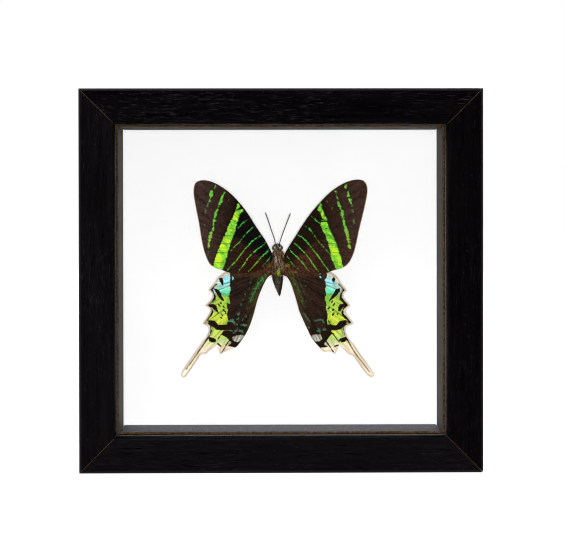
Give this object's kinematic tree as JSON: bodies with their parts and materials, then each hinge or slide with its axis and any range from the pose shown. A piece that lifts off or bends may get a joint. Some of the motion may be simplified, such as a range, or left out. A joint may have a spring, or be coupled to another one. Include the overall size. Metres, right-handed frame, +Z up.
{
  "type": "framed moth specimen",
  "caption": "Small shadow-box picture frame with a spread, tailed, green-banded day-flying moth mounted behind glass on a white board.",
  "frame": {"origin": "middle of the footprint, on the surface that the bottom rail stands on", "axes": "+Z up the frame, +X to the viewer's right along the bottom rail, -Y out of the glass towards the viewer"},
  "size_m": [0.15, 0.032, 0.1427],
  "materials": {
    "black_wood": "black stain on open-grained wood, satin, with worn brown edges at the mitres",
    "clear_glass": "clear picture glass, polished",
    "spacer_black": "matte black paint, rubbed brown along the front inner edge",
    "white_board": "smooth matte white mount board",
    "hardboard": "plain brown hardboard",
    "bright_steel": "zinc-bright pressed steel",
    "white_foam": "fine closed-cell white foam",
    "wing_scales": "dry scaled membrane: dark brown with iridescent green, turquoise and yellow-green bands and cream tails",
    "body_hair": "dense brown hair-scales with a green spot at the rear",
    "head_grey": "grey-brown scales and dark faceted eyes",
    "abdomen_dark": "dark grey-brown scales with black sides",
    "antenna_brown": "fine ringed brown-grey threads"
  },
  "bodies": {
    "root": {"rail_top": "black_wood", "rail_bottom": "black_wood", "rail_left": "black_wood", "rail_right": "black_wood", "glass_pane": "clear_glass", "spacer_top": "spacer_black", "spacer_bottom": "spacer_black", "spacer_left": "spacer_black", "spacer_right": "spacer_black", "mount_board": "white_board", "backboard": "hardboard", "point_top_a": "bright_steel", "point_top_b": "bright_steel", "point_bottom_a": "bright_steel", "point_bottom_b": "bright_steel", "point_left_a": "bright_steel", "point_left_b": "bright_steel", "point_right_a": "bright_steel", "point_right_b": "bright_steel", "sawtooth_hanger": "bright_steel", "rivet_left": "bright_steel", "rivet_right": "bright_steel", "foam_block": "white_foam", "forewing_left": "wing_scales", "forewing_right": "wing_scales", "hindwing_left": "wing_scales", "hindwing_right": "wing_scales", "thorax": "body_hair", "head": "head_grey", "abdomen": "abdomen_dark", "antenna_left": "antenna_brown", "antenna_right": "antenna_brown"}
  },
  "joints": []
}
